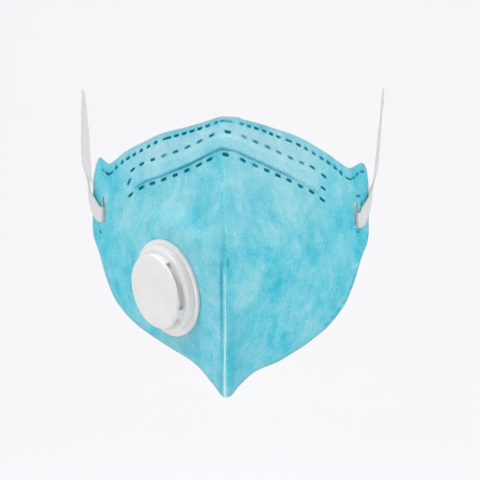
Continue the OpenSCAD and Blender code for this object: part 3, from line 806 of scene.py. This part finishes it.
BLUE = spunbond(
    "blue spunbond polypropylene",
    stops=[(0.25, "#97d9e5"), (0.42, "#7dd2e1"), (0.58, "#63cbdc"), (0.8, "#33bbd4")],
    painted_light=[(0.0, "#c0d6dc"), (1.0, "#c9dce2")],
    # the cut ramp's grey low end is painted shade along the rim, and its pale end the bare cut edge
    cut=[(0.45, "#a6a8ad"), (0.6, "#cfd3d5"), (0.72, "#98e8f8"), (1.0, "#cbf2fb")],
    dark=[(0.0, "#2aaec4"), (0.5, "#1f9db2"), (0.85, "#06667a")],
    cloud=(1.05, 0.5, 0.5))
WHITE = spunbond(
    "white spunbond polypropylene",
    stops=[(0.3, "#dededc"), (0.7, "#ecece9")],
    painted_light=[(0.0, "#e6e6e4"), (1.0, "#eaeae8")],
    cut=[(0.0, "#ecece9"), (1.0, "#f1f1ee")],
    dark=[(0.0, "#cfd4d5"), (0.8, "#bfc5c6")],
    cloud=(0.4, 0.4, 0.6))
PLASTIC = moulded_polypropylene()
ELASTIC = knitted_elastic()
SILICONE = silicone_rubber()
METAL = rolled_aluminium()
FOAM = polyurethane_foam()

# The wearer's right and left half, by the sign of X
HALVES = ((-1, "right"), (1, "left"))


def dress(obj, material):
    obj.data.materials.clear()
    obj.data.materials.append(material)
    return obj


def fold_with(obj):
    """Bakes the fabric's place into its mesh."""
    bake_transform(obj)


# Layers of a half from the outside in: piece, node, thickness, whether it is seen and needs a fine mesh,
# material and slot
LAYERS = (
    ("cover", "outer_cover", COVER_T, True, BLUE, "outer_fabric"),
    ("support", "support_layer", SUPPORT_T, False, WHITE, "inner_fabric"),
    ("filter", "filter_layer", FILTER_T, False, WHITE, "inner_fabric"),
    ("lining", "lining", LINING_T, True, WHITE, "inner_fabric"),
)
# A half is cut from about 126 x 112 mm of sheet
for side, who in HALVES:
    depth = 0
    for layer, node, thick, fine, material, slot in LAYERS:
        sheet = make_sheet(f"{who}_{layer}_sheet", side, depth, depth + thick, fine)
        depth += thick
        dress(sheet, material)
        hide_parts(f"{who}_{node}")
        fold_with(sheet)


# Welded fin below the tip of the seam: a slim blade with a pale cut edge, bent a little at the chin. Its
# cross-section: half width in millimetres and share of the rise
FIN_RISE, FIN_FOOT = 2.4, 1.7
FIN_BEND = 0.7
FIN_RING = [(-1.9, 0.0), (-1.35, 0.12), (-0.95, 0.4), (-0.55, 0.75), (-0.32, 0.95), (-0.12, 1.0),
            (0.15, 1.0), (0.32, 0.95), (0.5, 0.75), (0.72, 0.4), (1.0, 0.12), (1.5, 0.0)]
FIN_STEP = 0.8
# How bare its cut edge looks, and how much more so at the chin
FIN_CUT, FIN_CUT_CHIN = 0.95, 0.45


def fin_rise(z):
    return FIN_RISE * smooth(TIP_H + 2, TIP_H - 8, z)


def make_fin():
    sections = []
    for z in span(-CHIN - 0.5, TIP_H + 2, FIN_STEP) + [TIP_H + 2]:
        foot = seam_y(z) - DEPTH + FIN_FOOT
        rise = fin_rise(z) + FIN_FOOT
        slim = 0.5 + 0.5 * smooth(TIP_H, -CHIN, z)
        bend = -FIN_BEND * smooth(-30, -CHIN + 4, z)
        sections.append([Vector((a * slim + bend * b, foot - rise * b, z)) * MM for a, b in FIN_RING])
    fin = tube_mesh("seam_fin", sections)
    cut = fin.data.attributes.new("rim", "FLOAT", "POINT")
    for k, v in enumerate(fin.data.vertices):
        z = v.co.z / MM
        front = seam_y(z) - DEPTH - fin_rise(z)
        bare = FIN_CUT + FIN_CUT_CHIN * smooth(TIP_H - 5, -CHIN + 20, z)
        bare *= smooth(TIP_H - 1, TIP_H - 6, z)
        cut.data[k].value = bare * (1 - smooth(0.2, 0.95, v.co.y / MM - front))
    return fin


fin = make_fin()
dress(fin, BLUE)
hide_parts("centre_seam")
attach(fin, "centre")


# Bars that follow the nose edge, each made in two halves that meet at the seam: the wire in its pocket,
# and the foam behind the lining. Length of a half, upper and lower line, depths, length of the round end
WIRE_BAR = (41, (9.9, 0.108), (13.5, 0.132), -0.3, 0.35, 0.8)
FOAM_BAR = (40, (2.6, 0.02), (12.6, 0.1), TOTAL_T + 0.1, TOTAL_T + 3.6, 4)
BAR_STEP, BAR_SIDES = 1.4, 20
# A lower power makes a squarer cross-section
SQUARE_UP, SQUARE_DEEP = 0.4, 0.5


def nose_bar(name, side, length, upper, lower, t0, t1, end_round):
    """A bar between two lines along the nose edge and two depths, with its end rounded off."""
    sections = []
    for x in span(0, length, BAR_STEP) + [length]:
        end = math.sqrt(max(0.03, 1 - smooth(length - end_round, length, x) ** 2))
        high, low = drop_at(upper, x, side), drop_at(lower, x, side)
        ring = []
        for k in range(BAR_SIDES):
            a = 2 * math.pi * k / BAR_SIDES
            u = math.copysign(abs(math.cos(a)) ** SQUARE_UP, math.cos(a))
            w = 0.5 + 0.5 * math.copysign(abs(math.sin(a)) ** SQUARE_DEEP, math.sin(a))
            z = top_z(x, side) - (high + low) / 2 + u * (low - high) / 2 * end
            wide = stretch(max(x, 1.1), z, False)
            ring.append(hang(x, face_y(x, z, False) + (t0 + (t1 - t0) * w * end) * wide, z, side))
        sections.append(ring)
    return tube_mesh(name, sections)


for side, who in HALVES:
    wire = nose_bar(f"nose_wire_{who}", side, *WIRE_BAR)
    dress(wire, METAL)
    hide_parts("nose_wire")
    fold_with(wire)
    foam = nose_bar(f"nose_foam_{who}", side, *FOAM_BAR)
    dress(foam, FOAM)
    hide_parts("nose_foam")
    fold_with(foam)


# Ear loops: one closed band of elastic through each slot, out over the tab's front, up and back round
# the ear and in again behind. Each point of the route: place, then the way the width points
STRAP_STEP = 1.2
ROUTE = [
    ((61.2, 2.6, 13.0), (0.0, 0.1, 1)),
    ((61.2, -0.6, 12.6), (0.0, 0.1, 1)),
    ((61.3, -4.0, 11.6), (0.0, 0.1, 1)),
    ((61.5, -6.6, 10.9), (0.0, 0.1, 1)),
    ((62.1, -8.2, 10.6), (0.0, 0.0, 1)),
    ((62.9, -8.1, 10.7), (-0.02, 0.0, 1)),
    ((64.4, -5.9, 11.6), (-0.1, -0.1, 1)),
    ((66.3, -2.5, 14.8), (-0.25, -0.4, 0.9)),
    ((69.0, 2.2, 20.6), (-0.2, -0.85, 0.4)),
    ((70.5, 8.2, 27.4), (0.0, -0.9, 0.4)),
    ((72.0, 14.8, 35.0), (1.0, -0.88, 0.45)),
    ((73.5, 22.0, 45.3), (1.0, -0.85, 0.5)),
    ((74.9, 31.0, 57.4), (0.7, -0.85, 0.55)),
    ((76.7, 39.8, 67.0), (0.25, -0.75, 0.7)),
    ((77.9, 46.4, 71.9), (0.0, -0.5, 0.9)),
    ((78.8, 53.4, 75.4), (0.0, 0, 1)),
    ((79.2, 60.4, 74.6), (0.0, 0.6, 0.8)),
    ((79.0, 64.9, 71.2), (0.0, 1, 0.3)),
    ((78.5, 65.4, 65.4), (0.0, 1, -0.2)),
    ((77.4, 60.4, 58.0), (-0.1, 1, -0.5)),
    ((76.0, 50.9, 46.9), (-0.12, 1, -0.6)),
    ((73.6, 38.4, 34.9), (-0.15, 0.9, -0.75)),
    ((69.3, 24.4, 24.6), (-0.15, 0.6, -1)),
    ((64.6, 11.7, 17.6), (-0.05, 0.25, -1)),
    ((62.2, 3.3, 14.4), (0, 0.05, -1)),
    ((62.1, -0.4, 13.6), (0, 0.02, -1)),
]
# How far each loop's front strand is turned to the front, how far its top leans in, how far it is tucked
# in at the tab's edge and just above it, how far its top is lifted, and how far in the slot is
TURN = {1: 0.0, -1: 0.5}
LEAN_IN = {1: 0.4, -1: 0.0}
TUCK_IN = {1: 0.9, -1: 0.0}
TUCK_AT_TAB, TUCK_ABOVE = 0.35, 0.65
LIFT = {1: 1.7, -1: -1.4}
SLOT_SHIFT = 0.8


def smooth_line(points, step):
    """Points about step apart on a smooth line through points; each has a place and a direction."""
    out = []
    last = len(points) - 1
    for i in range(last):
        p = [points[min(max(i + k, 0), last)] for k in (-1, 0, 1, 2)]
        count = max(2, math.ceil((p[2][0] - p[1][0]).length / step))
        for k in range(count):
            t = k / count
            out.append([0.5 * (2 * b + (c - a) * t + (2 * a - 5 * b + 4 * c - d) * t * t
                               + (3 * b - a - 3 * c + d) * t ** 3) for a, b, c, d in zip(*p)])
    return out + [list(points[-1])]


def settle(p, at, side):
    """Moves a point of the band from the route to where the loop of this side hangs, in metres."""
    tuck = TUCK_AT_TAB * smooth(9, 3, at.y) + TUCK_ABOVE * smooth(30, 20, at.y)
    p.x -= LEAN_IN[side] * smooth(28, 50, at.y)
    p.x -= TUCK_IN[side] * smooth(-7, -2, at.y) * tuck
    p.x -= SLOT_SHIFT * smooth(66.5, 62.5, at.x)
    p.z += LIFT[side] * smooth(30, 56, at.y)
    return Vector((side * p.x, p.y, p.z - side * TAB_HANG)) * MM


def make_strap(name, side):
    points = []
    for at, wide in ROUTE:
        turned = TURN[side] * wide[0] if wide[0] > 0 else wide[0]
        points.append((Vector(at), Vector((turned, wide[1], wide[2])).normalized()))
    points = smooth_line(points, STRAP_STEP)
    last = len(points) - 1
    sections = []
    for i, (at, wide) in enumerate(points):
        along = (points[min(i + 1, last)][0] - points[max(i - 1, 0)][0]).normalized()
        w = (wide - wide.dot(along) * along).normalized()
        flat = along.cross(w)
        ring = [at + w * u * STRAP_W / 2 + flat * v * STRAP_T / 2 for u, v in BAND]
        sections.append([settle(p, at, side) for p in ring])
    return tube_mesh(name, sections)


for side, who in HALVES:
    strap = make_strap(f"{who}_elastic_loop", side)
    dress(strap, ELASTIC)
    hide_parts(f"{who}_strap_wrap", f"{who}_ear_loop")
    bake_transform(strap)


# Moulded pieces of the valve: piece, node and how far its edges are eased, where they are sharper than this
VALVE_PIECES = (
    ("valve_cap", "valve_cover", 0.22),
    ("valve_base", "valve_seat", 0.2),
    ("valve_clamp_ring", "valve_retaining_ring", 0.25),
)
EASED_ANGLE = 32


def eased(name, node, width_mm):
    """A node's solid with its sharp edges rounded by width_mm."""
    bm = bmesh.new()
    bm.from_mesh(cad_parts[node].data)
    bmesh.ops.remove_doubles(bm, verts=bm.verts[:], dist=1e-6)
    bmesh.ops.dissolve_limit(bm, angle_limit=math.radians(1), verts=bm.verts[:], edges=bm.edges[:])
    limit = math.radians(EASED_ANGLE)
    sharp = [e for e in bm.edges if len(e.link_faces) == 2 and e.calc_face_angle(0) > limit]
    bmesh.ops.bevel(bm, geom=sharp, offset=width_mm * MM, offset_type="OFFSET", affect="EDGES",
                    segments=3, profile=0.5, material=-1, clamp_overlap=True)
    return finish_mesh(bm, name, 30)


for name, node, width_mm in VALVE_PIECES:
    piece = eased(name, node, width_mm)
    dress(piece, PLASTIC)
    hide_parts(node)
    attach(piece, "right_half")
dress(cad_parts["valve_flap"], SILICONE)


# Low lip on the ledge inside the vents. Each point of its cross-section: radius and height over the face
LIP = [(14.87, 4.73), (15.35, 4.73), (15.35, 5.6), (15.2, 5.75), (15.02, 5.75), (14.87, 5.6)]
LIP_STEPS = 96


def make_lip():
    middle = Vector((-VALVE_X, VALVE_Y, VALVE_H))
    out = Vector((-VALVE_DX, -1, VALVE_DZ)).normalized()
    across = out.orthogonal().normalized()
    up = out.cross(across)
    sections = []
    for k in range(LIP_STEPS):
        a = 2 * math.pi * k / LIP_STEPS
        ray = across * math.cos(a) + up * math.sin(a)
        sections.append([(middle + ray * r + out * h) * MM for r, h in LIP])
    return tube_mesh("vent_lip", sections, closed_ring=True, sharp=30)


lip = make_lip()
dress(lip, PLASTIC)
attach(lip, "right_half")


# Floor and backdrop in one sheet, in metres: it runs back, bends up in a wide round and stands up
STAGE_WIDE, STAGE_HIGH = 8, 3.0
FLOOR_FRONT, FLOOR_BACK, FLOOR_H = -2.5, 0.5, -0.2
COVE_R = 0.7


def make_stage():
    bm = bmesh.new()
    bmesh.ops.create_grid(bm, x_segments=1, y_segments=24, size=0.5)
    for v in bm.verts:
        # the first half of the sheet is floor, the next quarter the round, and the last the backdrop
        t = v.co.y + 0.5
        x = v.co.x * STAGE_WIDE
        if t < 0.5:
            v.co = Vector((x, FLOOR_FRONT + (FLOOR_BACK - FLOOR_FRONT) * t / 0.5, FLOOR_H))
        else:
            a = min((t - 0.5) / 0.25, 1) * math.pi / 2
            up = max(0, (t - 0.75) / 0.25) * STAGE_HIGH
            high = FLOOR_H + COVE_R * (1 - math.cos(a)) + up
            v.co = Vector((x, FLOOR_BACK + COVE_R * math.sin(a), high))
    floor = finish_mesh(bm, "floor", 180)
    # matt paint without any shine, whose tone drifts over about 330 mm
    material, tree, shader = new_material("matt backdrop paint", Roughness=0.95, Specular_IOR_Level=0.0)
    place = add(tree, "ShaderNodeTexCoord", out="Object")
    paint = add(tree, "ShaderNodeTexNoise", {"Vector": place, "Scale": 3.0})
    colour = add(tree, "ShaderNodeValToRGB", {"Fac": paint}, [(0.0, "#efeff1"), (1.0, "#f1f1f3")])
    tree.links.new(colour, shader["Base Color"])
    floor.data.materials.append(material)


def area_light(name, at, aim, size, watts):
    data = bpy.data.lights.new(name, "AREA")
    data.shape, data.size, data.energy = "DISK", size, watts
    lamp = bpy.data.objects.new(name, data)
    lamp.location = at
    lamp.rotation_euler = (Vector(aim) - Vector(at)).to_track_quat("-Z", "Y").to_euler()
    lamp.visible_camera = False
    bpy.context.scene.collection.objects.link(lamp)


make_stage()
# Two softboxes above the front corners, a light on the backdrop and an even room: place, aim, size, watts
area_light("left_softbox", (-0.92, -0.6, 1.0), (0, 0, 0), 0.6, 8.8)
area_light("right_softbox", (0.9, -0.56, 1.08), (0, 0, 0), 0.6, 9.6)
area_light("backdrop_light", (0.0, 0.3, 1.6), (0, 1.1, 0.1), 1.2, 6.5)
world = bpy.data.worlds.new("studio")
world.use_nodes = True
room = world.node_tree.nodes["Background"].inputs
room["Color"].default_value = (0.988, 0.988, 0.992, 1)
room["Strength"].default_value = 0.47
bpy.context.scene.world = world
bpy.context.scene.view_settings.view_transform = "Standard"
